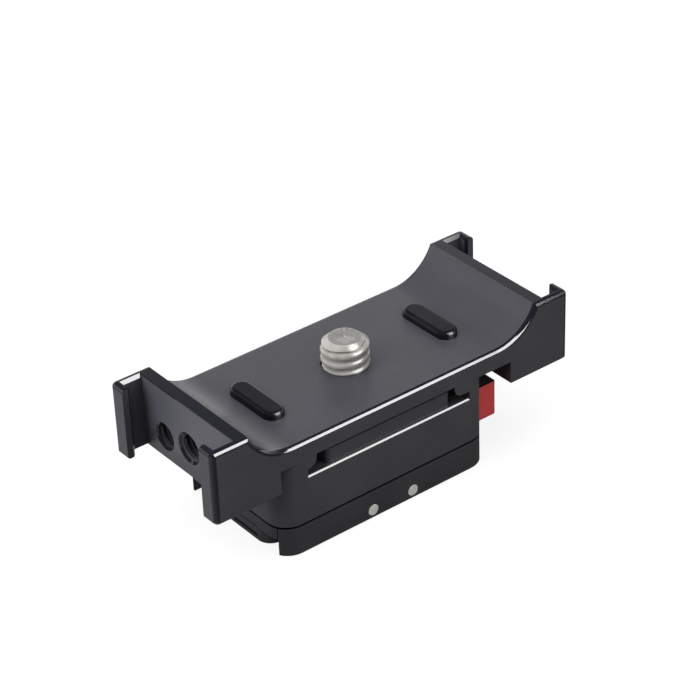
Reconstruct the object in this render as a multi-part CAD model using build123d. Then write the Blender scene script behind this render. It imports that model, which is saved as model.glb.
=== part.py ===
from build123d import *

import os
from math import sqrt

# Compact camera plate with an accessory channel at each end, a captive camera
# screw and a quick-release receiver below, all in millimetres.
# The origin is on the camera screw's axis, level with the feet of the rails.
# X runs along the plate towards the red button, Z is up.

# Accessory channels in the end blocks
channel_width = 18.7
channel_depth = 2.6
channel_wall = 1.25
lip_thickness = 1.25
lip_overlap = 1.35
lip_chamfer = 0.35

# Table and end blocks
table_thickness = 2.65
end_rise = 4.2
end_block_height = 10.3
end_block_length = 9.8
sweep_radius = 7.0
top_band = 1.7
table_edge_radius = 0.62
end_corner_radius = 0.7
end_foot_chamfer = 0.25
top_edge_chamfer = 0.4

# Tapped holes in the back wall of each channel
web_hole_diameter = 3.4
web_hole_floor = 0.95
main_hole_drop = 2.0
main_hole_mouth = 4.4
side_hole_drop = 2.9
side_hole_mouth = 3.9
side_hole_offset = 5.2

# Centre block below the table
block_height = 9.2
block_right = 14.7
block_overlap = 0.3
block_corner_radius = 3.0
finger_gap = 3.75
parting_chamfer = 0.12

# Travel and running gaps
release_travel = 1.8
slide_gap = 0.06
side_gap = 0.12
button_gap = 0.15
fit_gap = 0.01
screw_fit = 0.075

# Receiver plate with rails, fixed jaw and moving jaw
receiver_height = 4.35
web_thickness = 1.8
rail_thickness = 1.5
rail_foot_chamfer = 0.2
fixed_jaw_reach = 9.0
jaw_reach = 7.9
jaw_lip = 0.85
jaw_foot_height = 1.95
jaw_foot_inset = 3.2
jaw_foot_radius = 2.0
end_groove_height = 0.55
end_groove_depth = 0.5
end_groove_drop = 1.25
end_line_size = 0.14

# Stepped slot through the block, with the lock slide in it
slot_cover = 2.45
slot_height = 2.75
step_height = 1.1
left_ledge = 1.4
right_ledge = 2.45
step_radius = 1.2
slot_chamfer = 0.17
slot_end_wall = 5.65
slide_left_margin = 1.2
slide_right_play = 0.85
slide_stop_gap = 0.1
slide_setback = 0.45
slide_end_radius = 0.8
flange_inset = 3.1

# Release button
button_stand_out = 2.5
button_inside = 1.8
button_height = 5.35
button_wall = 1.4
button_chamfer = 0.35
arm_inset = 3.4
arm_width = 3.2
arm_height = 4.1
arm_screw_margin = 1.7

# Return springs, of rectangular wire
spring_diameter = 2.3
spring_wire = 0.36
spring_turns = 3.5
spring_room = 5.1
spring_seat_depth = 1.5
spring_end_room = 0.25
spring_drop = 2.1
spring_setback = 0.6

# Camera screw, quarter inch
screw_diameter = 6.35
screw_protrusion = 3.94
screw_lead = 0.75
screw_thread_start = 0.15
shank_relief = 0.075
thread_gap = 0.02
thread_relief_width = 0.8
thread_relief_depth = 0.55
screw_head_diameter = 8.8
screw_head_height = 3.3
screw_head_chamfer = 0.3
screw_socket_across = 4.0
screw_socket_depth = 2.2
head_bore_gap = 0.3
head_seat_depth = 7.0
washer_thickness = 0.4
washer_inset = 0.1
access_diameter = 5.0

# Rubber pads
pad_inset = 2.38
pad_length = 9.3
pad_width = 3.0
pad_height = 1.0
pad_seat = 0.9
pad_edge_radius = 0.55
pad_gap = 0.04

# Locating pins in the rails
pin_diameter = 1.55
pin_stand_in = 0.45
pin_positions = (-4.55, 1.9)

# Small screws and sleeves
small_screw_diameter = 1.6
small_head_diameter = 2.8
small_head_height = 1.0
jaw_screw_margin = 2.0
jaw_screw_inset = 6.0
sleeve_diameter = 2.8
plate_screw_diameter = 2.0
plate_head_diameter = 3.5
plate_head_height = 1.1
plate_screw_depth = 3.0
plate_screw_inset = 7.4
plate_screw_margins = (2.3, 2.0)
drive_depth = 0.55

# Levels, upwards from the feet of the rails
parting_z = receiver_height
underside_z = parting_z + block_height
table_z = underside_z + table_thickness
end_top_z = table_z + end_rise
end_bottom_z = end_top_z - end_block_height
ceiling_z = parting_z - web_thickness
pin_z = ceiling_z / 2
jaw_foot_z = ceiling_z - jaw_foot_height
jaw_top_z = parting_z - slide_gap
slot_roof_z = table_z - slot_cover
slot_floor_z = slot_roof_z - slot_height
step_z = slot_floor_z + step_height
slide_bottom_z = slot_floor_z + slide_gap
slide_top_z = slot_roof_z - slide_gap
slide_thread_top_z = slide_top_z - small_head_height / 2
button_top_z = slot_floor_z - button_gap
button_bottom_z = button_top_z - button_height
arm_bottom_z = slide_bottom_z - arm_height
spring_z = slide_bottom_z - spring_drop
thread_start_z = table_z + screw_thread_start
relief_start_z = thread_start_z - thread_relief_width
head_seat_z = table_z - head_seat_depth
head_top_z = head_seat_z - washer_thickness - slide_gap
head_bottom_z = head_top_z - screw_head_height

# Reaches along the plate from the camera screw
half_length = block_right + finger_gap + end_block_length
inner_face_x = half_length - end_block_length
block_left = inner_face_x + block_overlap
web_face_x = half_length - lip_thickness - channel_depth
sweep_end_x = web_face_x - top_band
sweep_start_x = sweep_end_x - sqrt(sweep_radius**2 - (sweep_radius - end_rise) ** 2)
pad_x = sweep_start_x - pad_inset
jaw_screw_x = -jaw_reach - jaw_screw_margin
slide_left = -jaw_screw_x + slide_left_margin
slot_left = slide_left + release_travel + slide_stop_gap
step_left = slot_left + left_ledge
slot_right = block_right - slot_end_wall
slide_right = slot_right - slide_right_play
step_right = slot_right + right_ledge
button_base = block_right - button_inside
button_reach = block_right + button_stand_out
arm_screw_x = slide_right - arm_screw_margin
spring_pocket_end = -jaw_reach + spring_setback
arm_end = spring_pocket_end + spring_room
web_left_x = -jaw_reach + side_gap
plate_screw_xs = (-jaw_reach + plate_screw_margins[0], fixed_jaw_reach - plate_screw_margins[1])

# Reaches across the plate
overall_width = channel_width + 2 * channel_wall
half_width = overall_width / 2
channel_opening = channel_width - 2 * lip_overlap
button_width = overall_width - 2 * button_wall
arm_y = half_width - arm_inset
jaw_screw_y = half_width - jaw_screw_inset
plate_screw_y = half_width - plate_screw_inset
rail_inner_y = half_width - rail_thickness
jaw_half_width = rail_inner_y - side_gap
jaw_foot_width = overall_width - 2 * jaw_foot_inset
end_groove_length = jaw_foot_width - 2 * jaw_foot_radius
flange_width = overall_width - 2 * flange_inset

# How far a cut runs past the surface that it opens
overshoot = 1.0


def box_between(low, high):
    """Box from its low corner to its high corner."""
    size = [b - a for a, b in zip(low, high)]
    centre = [(a + b) / 2 for a, b in zip(low, high)]
    return Pos(*centre) * Box(*size)


def rod(radius, start, end, axis="Z"):
    """Cylinder along X, Y or Z between two points on its axis."""
    index = "XYZ".index(axis)
    length = end[index] - start[index]
    centre = [(a + b) / 2 for a, b in zip(start, end)]
    turns = {"X": Rot(0, 90, 0), "Y": Rot(90, 0, 0), "Z": Rot(0, 0, 0)}
    return Pos(*centre) * turns[axis] * Cylinder(radius, length)


def profile_across(edges, width):
    """Solid of a closed outline in X and Z, extruded equally to both sides."""
    outline = Plane.XZ * make_face(edges)
    return extrude(outline, amount=width / 2, both=True)


def block_outline():
    """Plan outline shared by the centre block, the receiver plate and the jaw."""
    centre_x = (block_right - block_left) / 2
    return Pos(centre_x, 0) * RectangleRounded(block_left + block_right, overall_width, block_corner_radius)


def prism(outline, low, high):
    """Plan outline extruded between two heights."""
    return Pos(0, 0, low) * extrude(outline, amount=high - low)


def edges_at(solid, test):
    """Edges of a solid whose middle point passes a test."""
    return [edge for edge in solid.edges() if test(edge.position_at(0.5))]


def near(value, target):
    return abs(value - target) < 0.01


def beam():
    """Table and both swept-up ends as one profile, with its outer edges rounded."""
    angle_x = (sweep_start_x + sweep_end_x) / 2
    middle = (angle_x, table_z + sweep_radius - sqrt(sweep_radius**2 - (angle_x - sweep_start_x) ** 2))
    edges = [Line((-sweep_start_x, table_z), (sweep_start_x, table_z))]
    edges.append(Line((-inner_face_x, underside_z), (inner_face_x, underside_z)))
    for side in (-1, 1):
        start = (side * sweep_start_x, table_z)
        end = (side * sweep_end_x, end_top_z)
        edges.append(ThreePointArc(start, (side * middle[0], middle[1]), end))
        corners = [end]
        corners.append((side * half_length, end_top_z))
        corners.append((side * half_length, end_bottom_z))
        corners.append((side * inner_face_x, end_bottom_z))
        corners.append((side * inner_face_x, underside_z))
        edges.extend(Polyline(*corners).edges())
    solid = profile_across(edges, overall_width)
    upright = edges_at(solid, lambda p: near(abs(p.X), half_length) and near(abs(p.Y), half_width))
    solid = fillet(upright, end_corner_radius)

    def rim(p):
        at_end = abs(p.X) > half_length - end_corner_radius and near(p.Z, end_top_z)
        return at_end or (near(abs(p.Y), half_width) and p.Z > table_z - 0.01)

    solid = fillet(edges_at(solid, rim), table_edge_radius)
    return chamfer(edges_at(solid, lambda p: near(p.Z, end_bottom_z)), end_foot_chamfer)


def channel_cut(side):
    """Upright channel in one end block, open above, below and outwards."""
    low, high = end_bottom_z - overshoot, end_top_z + overshoot
    bed = box_between(
        (web_face_x, -channel_width / 2, low),
        (half_length - lip_thickness, channel_width / 2, high),
    )
    mouth = box_between(
        (half_length - lip_thickness - overshoot, -channel_opening / 2, low),
        (half_length + overshoot, channel_opening / 2, high),
    )
    cut = bed + mouth
    return cut if side > 0 else mirror(cut, Plane.YZ)


def web_hole_cuts(side):
    """Three tapped holes in the back wall of a channel, with their countersinks."""
    holes = [(0, main_hole_drop, main_hole_mouth)]
    for hand in (-1, 1):
        holes.append((hand * side_hole_offset, side_hole_drop, side_hole_mouth))
    cuts = []
    radius = web_hole_diameter / 2
    for y, drop, mouth in holes:
        z = table_z - drop
        bore = rod(radius, (inner_face_x + web_hole_floor, y, z), (web_face_x, y, z), "X")
        depth = mouth / 2 - radius
        sink = Pos(web_face_x - depth / 2, y, z) * Rot(0, 90, 0) * Cone(radius, mouth / 2, depth)
        cuts.append(bore + sink)
    cut = Part() + cuts
    return cut if side > 0 else mirror(cut, Plane.YZ)


def slot_cut():
    """Stepped slot, right through the block from front to back."""
    corners = [
        (-step_left, slot_floor_z),
        (step_right, slot_floor_z),
        (step_right, step_z),
        (slot_right, step_z),
        (slot_right, slot_roof_z),
        (-slot_left, slot_roof_z),
        (-slot_left, step_z),
        (-step_left, step_z),
    ]
    outline = make_face(Polyline(*corners, close=True).edges())
    shoulders = (slot_right, -slot_left)
    inner = [v for v in outline.vertices() if near(v.Y, step_z) and any(near(v.X, x) for x in shoulders)]
    outline = fillet(inner, step_radius)
    return extrude(Plane.XZ * outline, amount=half_width + overshoot, both=True)


def button_pocket_cuts():
    """Pocket for the red bar, and one pocket for each arm with its spring."""
    back = button_base - release_travel - side_gap
    cuts = [
        box_between(
            (back, -button_width / 2 - side_gap, button_bottom_z - button_gap),
            (block_right + overshoot, button_width / 2 + side_gap, slot_floor_z),
        )
    ]
    for hand in (-1, 1):
        y = hand * arm_y
        half = arm_width / 2 + side_gap
        low = (spring_pocket_end, y - half, parting_z - overshoot)
        cuts.append(box_between(low, (back + overshoot, y + half, slot_floor_z)))
    return cuts


def post_slot_cut(y):
    """Slot in the block for one jaw sleeve over its whole travel."""
    radius = sleeve_diameter / 2 + side_gap
    length = release_travel + 2 * radius
    outline = Pos(jaw_screw_x - release_travel / 2, y) * SlotOverall(length, 2 * radius)
    return prism(outline, parting_z - overshoot, slot_floor_z + overshoot)


def pad_outline(growth=0.0):
    return SlotOverall(pad_length + 2 * growth, pad_width + 2 * growth, rotation=90)


def body_plate():
    """Table, end blocks and centre block, machined from one piece."""
    solid = beam() + prism(block_outline(), parting_z, underside_z + table_thickness / 2)
    for side in (-1, 1):
        solid -= channel_cut(side)
        solid -= web_hole_cuts(side)
    solid -= slot_cut()
    for cut in button_pocket_cuts():
        solid -= cut
    for hand in (-1, 1):
        solid -= post_slot_cut(hand * jaw_screw_y)
        solid -= prism(Pos(hand * pad_x, 0) * pad_outline(pad_gap), table_z - pad_seat, table_z + overshoot)
        y = hand * plate_screw_y
        for x in plate_screw_xs:
            radius = plate_screw_diameter / 2 + fit_gap
            solid -= rod(radius, (x, y, parting_z - overshoot), (x, y, parting_z + plate_screw_depth))
    bottom = (0, 0, parting_z - overshoot)
    solid -= rod(screw_diameter / 2 + thread_gap, bottom, (0, 0, table_z + overshoot))
    solid -= rod(screw_head_diameter / 2 + head_bore_gap, bottom, (0, 0, head_seat_z))
    return finish_body_edges(solid)


def finish_body_edges(solid):
    """Chamfers on the channel tops, lips, slot sills and undersides."""
    half_channel, half_mouth = channel_width / 2, channel_opening / 2

    middle_z = (end_top_z + end_bottom_z) / 2

    def lip_edge(p):
        return near(abs(p.Y), half_mouth) and near(p.Z, middle_z) and abs(p.X) > web_face_x + 0.01

    solid = chamfer(edges_at(solid, lip_edge), lip_chamfer)

    def channel_top(p):
        inside = abs(p.X) > web_face_x + 0.01 and abs(p.X) < half_length - table_edge_radius - 0.01
        beside = abs(p.Y) > half_mouth + lip_chamfer and abs(p.Y) < half_channel + 0.01
        return near(p.Z, end_top_z) and inside and beside

    solid = chamfer(edges_at(solid, channel_top), top_edge_chamfer)

    def sill(p):
        return near(p.Z, slot_floor_z) and near(abs(p.Y), half_width)

    solid = chamfer(edges_at(solid, sill), slot_chamfer)

    def block_foot(p):
        on_side = near(abs(p.Y), half_width) or near(p.X, -block_left) or near(p.X, block_right)
        on_corner = abs(p.Y) > half_width - block_corner_radius and abs(p.Y) < half_width
        beyond = p.X > block_right - block_corner_radius or p.X < -block_left + block_corner_radius
        return near(p.Z, parting_z) and (on_side or (on_corner and beyond))

    return chamfer(edges_at(solid, block_foot), parting_chamfer)


def receiver_plate():
    """Plate below the parting line, with front and back rails and the fixed jaw."""
    solid = prism(block_outline(), 0, parting_z)
    # room for the moving jaw, and the foot's pocket between the rails
    low = (-block_left - overshoot, -rail_inner_y, -overshoot)
    solid -= box_between(low, (web_left_x, rail_inner_y, parting_z + overshoot))
    flank = [
        (web_left_x - overshoot, ceiling_z),
        (fixed_jaw_reach + jaw_lip, ceiling_z),
        (fixed_jaw_reach, ceiling_z - jaw_foot_height),
        (fixed_jaw_reach, -overshoot),
        (web_left_x - overshoot, -overshoot),
    ]
    solid -= profile_across(Polyline(*flank, close=True).edges(), 2 * rail_inner_y)
    solid -= rod(access_diameter / 2, (0, 0, ceiling_z - overshoot), (0, 0, parting_z + overshoot))
    shank_radius = plate_screw_diameter / 2 + screw_fit
    sink = Cone(plate_head_diameter / 2 + screw_fit, shank_radius, plate_head_height)
    for hand in (-1, 1):
        y = hand * plate_screw_y
        for x in plate_screw_xs:
            solid -= rod(shank_radius, (x, y, 0), (x, y, parting_z + overshoot))
            solid -= Pos(x, y, ceiling_z + plate_head_height / 2) * sink
        for x in pin_positions:
            ends = sorted((hand * (rail_inner_y - overshoot), hand * (half_width + overshoot)))
            solid -= rod(pin_diameter / 2 + fit_gap, (x, ends[0], pin_z), (x, ends[1], pin_z), "Y")

    def outer(p):
        on_side = near(abs(p.Y), half_width) or near(p.X, block_right)
        on_corner = abs(p.Y) > rail_inner_y + 0.01 and abs(p.Y) < half_width
        beyond = p.X > block_right - block_corner_radius or p.X < -block_left + block_corner_radius
        return on_side or (on_corner and beyond)

    solid = chamfer(edges_at(solid, lambda p: near(p.Z, parting_z) and outer(p)), parting_chamfer)
    return chamfer(edges_at(solid, lambda p: near(p.Z, 0) and outer(p)), rail_foot_chamfer)


def clamp_jaw():
    """Moving jaw that closes the receiver at its open end."""
    carriage = prism(block_outline(), ceiling_z, jaw_top_z)
    reach = box_between(
        (-block_left - overshoot, -jaw_half_width, jaw_foot_z - overshoot),
        (-jaw_reach, jaw_half_width, parting_z + overshoot),
    )
    carriage = carriage & reach
    foot_length = block_left - jaw_reach + block_corner_radius
    foot_plan = RectangleRounded(foot_length, jaw_foot_width, jaw_foot_radius)
    foot = prism(Pos(-block_left + foot_length / 2, 0) * foot_plan, jaw_foot_z, ceiling_z)
    flank = [
        (-block_left - overshoot, ceiling_z),
        (-jaw_reach - jaw_lip, ceiling_z),
        (-jaw_reach, jaw_foot_z),
        (-block_left - overshoot, jaw_foot_z),
    ]
    foot = foot & profile_across(Polyline(*flank, close=True).edges(), overall_width)
    solid = carriage + foot
    groove_z = ceiling_z - end_groove_drop
    solid -= box_between(
        (-block_left - overshoot, -end_groove_length / 2, groove_z - end_groove_height / 2),
        (-block_left + end_groove_depth, end_groove_length / 2, groove_z + end_groove_height / 2),
    )
    solid -= box_between(
        (-block_left - overshoot, -end_groove_length / 2, ceiling_z - end_line_size / 2),
        (-block_left + end_line_size, end_groove_length / 2, ceiling_z + end_line_size / 2),
    )
    for hand in (-1, 1):
        y = hand * jaw_screw_y
        head_top = jaw_foot_z + small_head_height + side_gap
        solid -= rod(small_screw_diameter / 2 + screw_fit, (jaw_screw_x, y, 0), (jaw_screw_x, y, parting_z))
        solid -= rod(small_head_diameter / 2 + side_gap, (jaw_screw_x, y, 0), (jaw_screw_x, y, head_top))
    return solid


def lock_slide():
    """Slide that fills the window and carries the jaw and the button."""
    slab_half = half_width - slide_setback
    slab = box_between((-slide_left, -slab_half, slide_bottom_z), (slide_right, slab_half, slide_top_z))
    rounded = edges_at(slab, lambda p: near(p.X, -slide_left) and near(abs(p.Y), slab_half))
    slab = fillet(rounded, slide_end_radius)
    flange_left = -step_left + release_travel + side_gap
    flange_right = step_right - side_gap
    low = (flange_left, -flange_width / 2, slide_bottom_z)
    flange = box_between(low, (flange_right, flange_width / 2, step_z - slide_gap))
    solid = slab + flange
    window_width = screw_diameter + 2 * side_gap
    window = Pos(release_travel / 2, 0) * SlotOverall(window_width + release_travel, window_width)
    solid -= prism(window, slide_bottom_z - overshoot, slide_top_z + overshoot)
    radius = small_screw_diameter / 2 + fit_gap
    for x, y in slide_screw_places():
        solid -= rod(radius, (x, y, slide_bottom_z - overshoot), (x, y, slide_thread_top_z))
    return solid


def slide_screw_places():
    """Places of the small screws that go up into the lock slide."""
    places = []
    for hand in (-1, 1):
        places.append((jaw_screw_x, hand * jaw_screw_y))
        places.append((arm_screw_x, hand * arm_y))
    return places


def release_button():
    """Red bar across the block's end, with two arms that reach under the slide."""
    half_bar = button_width / 2
    bar = box_between((button_base, -half_bar, button_bottom_z), (button_reach, half_bar, button_top_z))
    bar = chamfer(edges_at(bar, lambda p: near(p.X, button_reach)), button_chamfer)

    def bar_end(p):
        return near(abs(p.Y), half_bar) and p.X < button_reach - 2 * button_chamfer

    solid = chamfer(edges_at(bar, bar_end), button_chamfer / 2)
    for hand in (-1, 1):
        solid += button_arm(hand * arm_y)
    return solid


def button_arm(y):
    """One arm of the button, with its spring seat and screw hole."""
    half = arm_width / 2
    arm = box_between((arm_end, y - half, arm_bottom_z), (button_base + overshoot, y + half, button_top_z))
    arm += box_between((arm_end, y - half, button_top_z), (step_right - side_gap, y + half, slide_bottom_z))
    seat_end = (arm_end + spring_seat_depth, y, spring_z)
    arm -= rod(spring_diameter / 2 + side_gap, (arm_end - overshoot, y, spring_z), seat_end, "X")
    below = (arm_screw_x, y, arm_bottom_z - overshoot)
    arm -= rod(small_screw_diameter / 2 + screw_fit, below, (arm_screw_x, y, slide_bottom_z + overshoot))
    head_top = arm_bottom_z + small_head_height + side_gap
    return arm - rod(small_head_diameter / 2 + side_gap, below, (arm_screw_x, y, head_top))


def small_screw(x, y, head_bottom_z):
    """Cap screw from below, threaded into the lock slide."""
    head_top = head_bottom_z + small_head_height
    head = rod(small_head_diameter / 2, (x, y, head_bottom_z), (x, y, head_top))
    shank = rod(small_screw_diameter / 2, (x, y, head_top), (x, y, slide_thread_top_z - side_gap))
    socket = Pos(x, y) * RegularPolygon(small_screw_diameter / 2, 6)
    return head + shank - prism(socket, head_bottom_z, head_bottom_z + drive_depth)


def jaw_sleeve(y):
    """Sleeve that spaces the jaw from the lock slide."""
    tube = rod(sleeve_diameter / 2, (jaw_screw_x, y, jaw_top_z), (jaw_screw_x, y, slide_bottom_z))
    radius = small_screw_diameter / 2 + screw_fit
    return tube - rod(radius, (jaw_screw_x, y, parting_z - overshoot), (jaw_screw_x, y, slide_top_z))


def return_spring(y):
    """Compression spring along X between the block and the button's arm."""
    length = arm_end + spring_seat_depth - spring_pocket_end - 2 * spring_end_room
    path = Helix(length / spring_turns, length, (spring_diameter - spring_wire) / 2)
    start = Plane(origin=path @ 0, z_dir=path % 0)
    coil = sweep(start * Rectangle(spring_wire, spring_wire), path=path)
    return Pos(spring_pocket_end + spring_end_room, y, spring_z) * Rot(0, 90, 0) * coil


def camera_screw():
    """Captive quarter-inch screw with a chamfered tip and a socket in its head."""
    tip_z = table_z + screw_protrusion
    radius = screw_diameter / 2
    thread = rod(radius, (0, 0, thread_start_z), (0, 0, tip_z))
    thread = chamfer(thread.edges().group_by(Axis.Z)[-1], screw_lead)
    relief = rod(radius - thread_relief_depth, (0, 0, relief_start_z), (0, 0, thread_start_z))
    shank = rod(radius - shank_relief, (0, 0, head_top_z), (0, 0, relief_start_z))
    head = rod(screw_head_diameter / 2, (0, 0, head_bottom_z), (0, 0, head_top_z))
    head = chamfer(edges_at(head, lambda p: near(p.Z, head_bottom_z)), screw_head_chamfer)
    socket = RegularPolygon(screw_socket_across / sqrt(3), 6)
    socket = prism(socket, head_bottom_z - overshoot, head_bottom_z + screw_socket_depth)
    return thread + relief + shank + head - socket


def screw_washer():
    """Thin washer between the screw's head and its seat in the block."""
    outer_radius = screw_head_diameter / 2 - washer_inset
    ring = rod(outer_radius, (0, 0, head_seat_z - washer_thickness), (0, 0, head_seat_z))
    return ring - rod(screw_diameter / 2 + thread_gap, (0, 0, head_bottom_z), (0, 0, table_z))


def rubber_pad(x):
    """Stadium-shaped pad, glued in a shallow pocket of the table."""
    pad = prism(Pos(x, 0) * pad_outline(), table_z - pad_seat, table_z + pad_height)
    return fillet(edges_at(pad, lambda p: near(p.Z, table_z + pad_height)), pad_edge_radius)


def locating_pin(x, hand):
    """Steel pin through a rail, flush outside and standing in towards the foot."""
    inner_y = hand * (rail_inner_y - pin_stand_in)
    ends = sorted((inner_y, hand * half_width))
    pin = rod(pin_diameter / 2, (x, ends[0], pin_z), (x, ends[1], pin_z), "Y")
    return chamfer(edges_at(pin, lambda p: near(p.Y, inner_y)), pin_diameter / 10)


def plate_screw(x, y):
    """Flat-head screw that holds the receiver plate to the block."""
    radius = plate_screw_diameter / 2
    cone = Cone(plate_head_diameter / 2, radius, plate_head_height)
    head = Pos(x, y, ceiling_z + plate_head_height / 2) * cone
    shank = rod(radius, (x, y, ceiling_z), (x, y, parting_z + plate_screw_depth - side_gap))
    socket = Pos(x, y) * RegularPolygon(0.7 * radius, 6)
    return head + shank - prism(socket, ceiling_z, ceiling_z + drive_depth)


def all_nodes():
    """Every piece of the plate under the name of its node."""
    nodes = {
        "body_plate": body_plate(),
        "receiver_plate": receiver_plate(),
        "clamp_jaw": clamp_jaw(),
        "lock_slide": lock_slide(),
        "release_button": release_button(),
        "camera_screw": camera_screw(),
        "screw_washer": screw_washer(),
        "rubber_pad_left": rubber_pad(-pad_x),
        "rubber_pad_right": rubber_pad(pad_x),
    }
    for side, hand in (("front", -1), ("back", 1)):
        jaw_y = hand * jaw_screw_y
        nodes[f"jaw_screw_{side}"] = small_screw(jaw_screw_x, jaw_y, jaw_foot_z + side_gap)
        nodes[f"jaw_sleeve_{side}"] = jaw_sleeve(jaw_y)
        nodes[f"button_screw_{side}"] = small_screw(arm_screw_x, hand * arm_y, arm_bottom_z + side_gap)
        nodes[f"return_spring_{side}"] = return_spring(hand * arm_y)
        for end, x in zip(("left", "right"), pin_positions):
            nodes[f"locating_pin_{side}_{end}"] = locating_pin(x, hand)
        for end, x in zip(("left", "right"), plate_screw_xs):
            nodes[f"plate_screw_{side}_{end}"] = plate_screw(x, hand * plate_screw_y)
    return nodes


if __name__ == "__main__":
    os.makedirs("parts", exist_ok=True)
    for name, shape in all_nodes().items():
        export_step(shape, f"parts/{name}.step")
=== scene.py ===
import logging
import math
from dataclasses import dataclass
from enum import Enum

import bmesh
import bpy
from mathutils import Matrix, Vector


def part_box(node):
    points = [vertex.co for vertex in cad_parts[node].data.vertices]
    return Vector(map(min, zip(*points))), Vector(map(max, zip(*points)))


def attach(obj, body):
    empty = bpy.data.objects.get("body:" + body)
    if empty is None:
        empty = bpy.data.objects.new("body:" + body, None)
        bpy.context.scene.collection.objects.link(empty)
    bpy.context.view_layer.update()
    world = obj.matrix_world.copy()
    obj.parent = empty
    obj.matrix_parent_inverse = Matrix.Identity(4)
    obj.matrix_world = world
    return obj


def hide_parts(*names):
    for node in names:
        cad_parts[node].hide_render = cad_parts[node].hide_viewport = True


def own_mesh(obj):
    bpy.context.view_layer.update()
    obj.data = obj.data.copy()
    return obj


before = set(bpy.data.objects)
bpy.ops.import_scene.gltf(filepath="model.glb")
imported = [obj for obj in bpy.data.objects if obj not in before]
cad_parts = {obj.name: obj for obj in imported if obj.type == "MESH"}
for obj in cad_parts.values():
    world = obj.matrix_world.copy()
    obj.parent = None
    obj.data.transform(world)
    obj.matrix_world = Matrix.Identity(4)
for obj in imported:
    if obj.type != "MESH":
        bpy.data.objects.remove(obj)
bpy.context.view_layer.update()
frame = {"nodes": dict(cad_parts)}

# Sizes of the plate are in millimetres, and those of the studio and the camera in metres.
MM = 0.001

log = logging.getLogger("camera_plate")

Colour = tuple[float, float, float]
Point = tuple[float, float, float]
Socket = bpy.types.NodeSocket


class Body(Enum):
    """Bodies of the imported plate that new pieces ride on."""

    BASE = "base"
    SCREW = "screw"


class Slot(Enum):
    """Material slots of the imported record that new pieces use."""

    BLACK = "black_anodised"
    BRIGHT = "bright_steel"


class Hand(Enum):
    """Ends of the plate, with the sign of their X."""

    LEFT = -1
    RIGHT = 1


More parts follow.
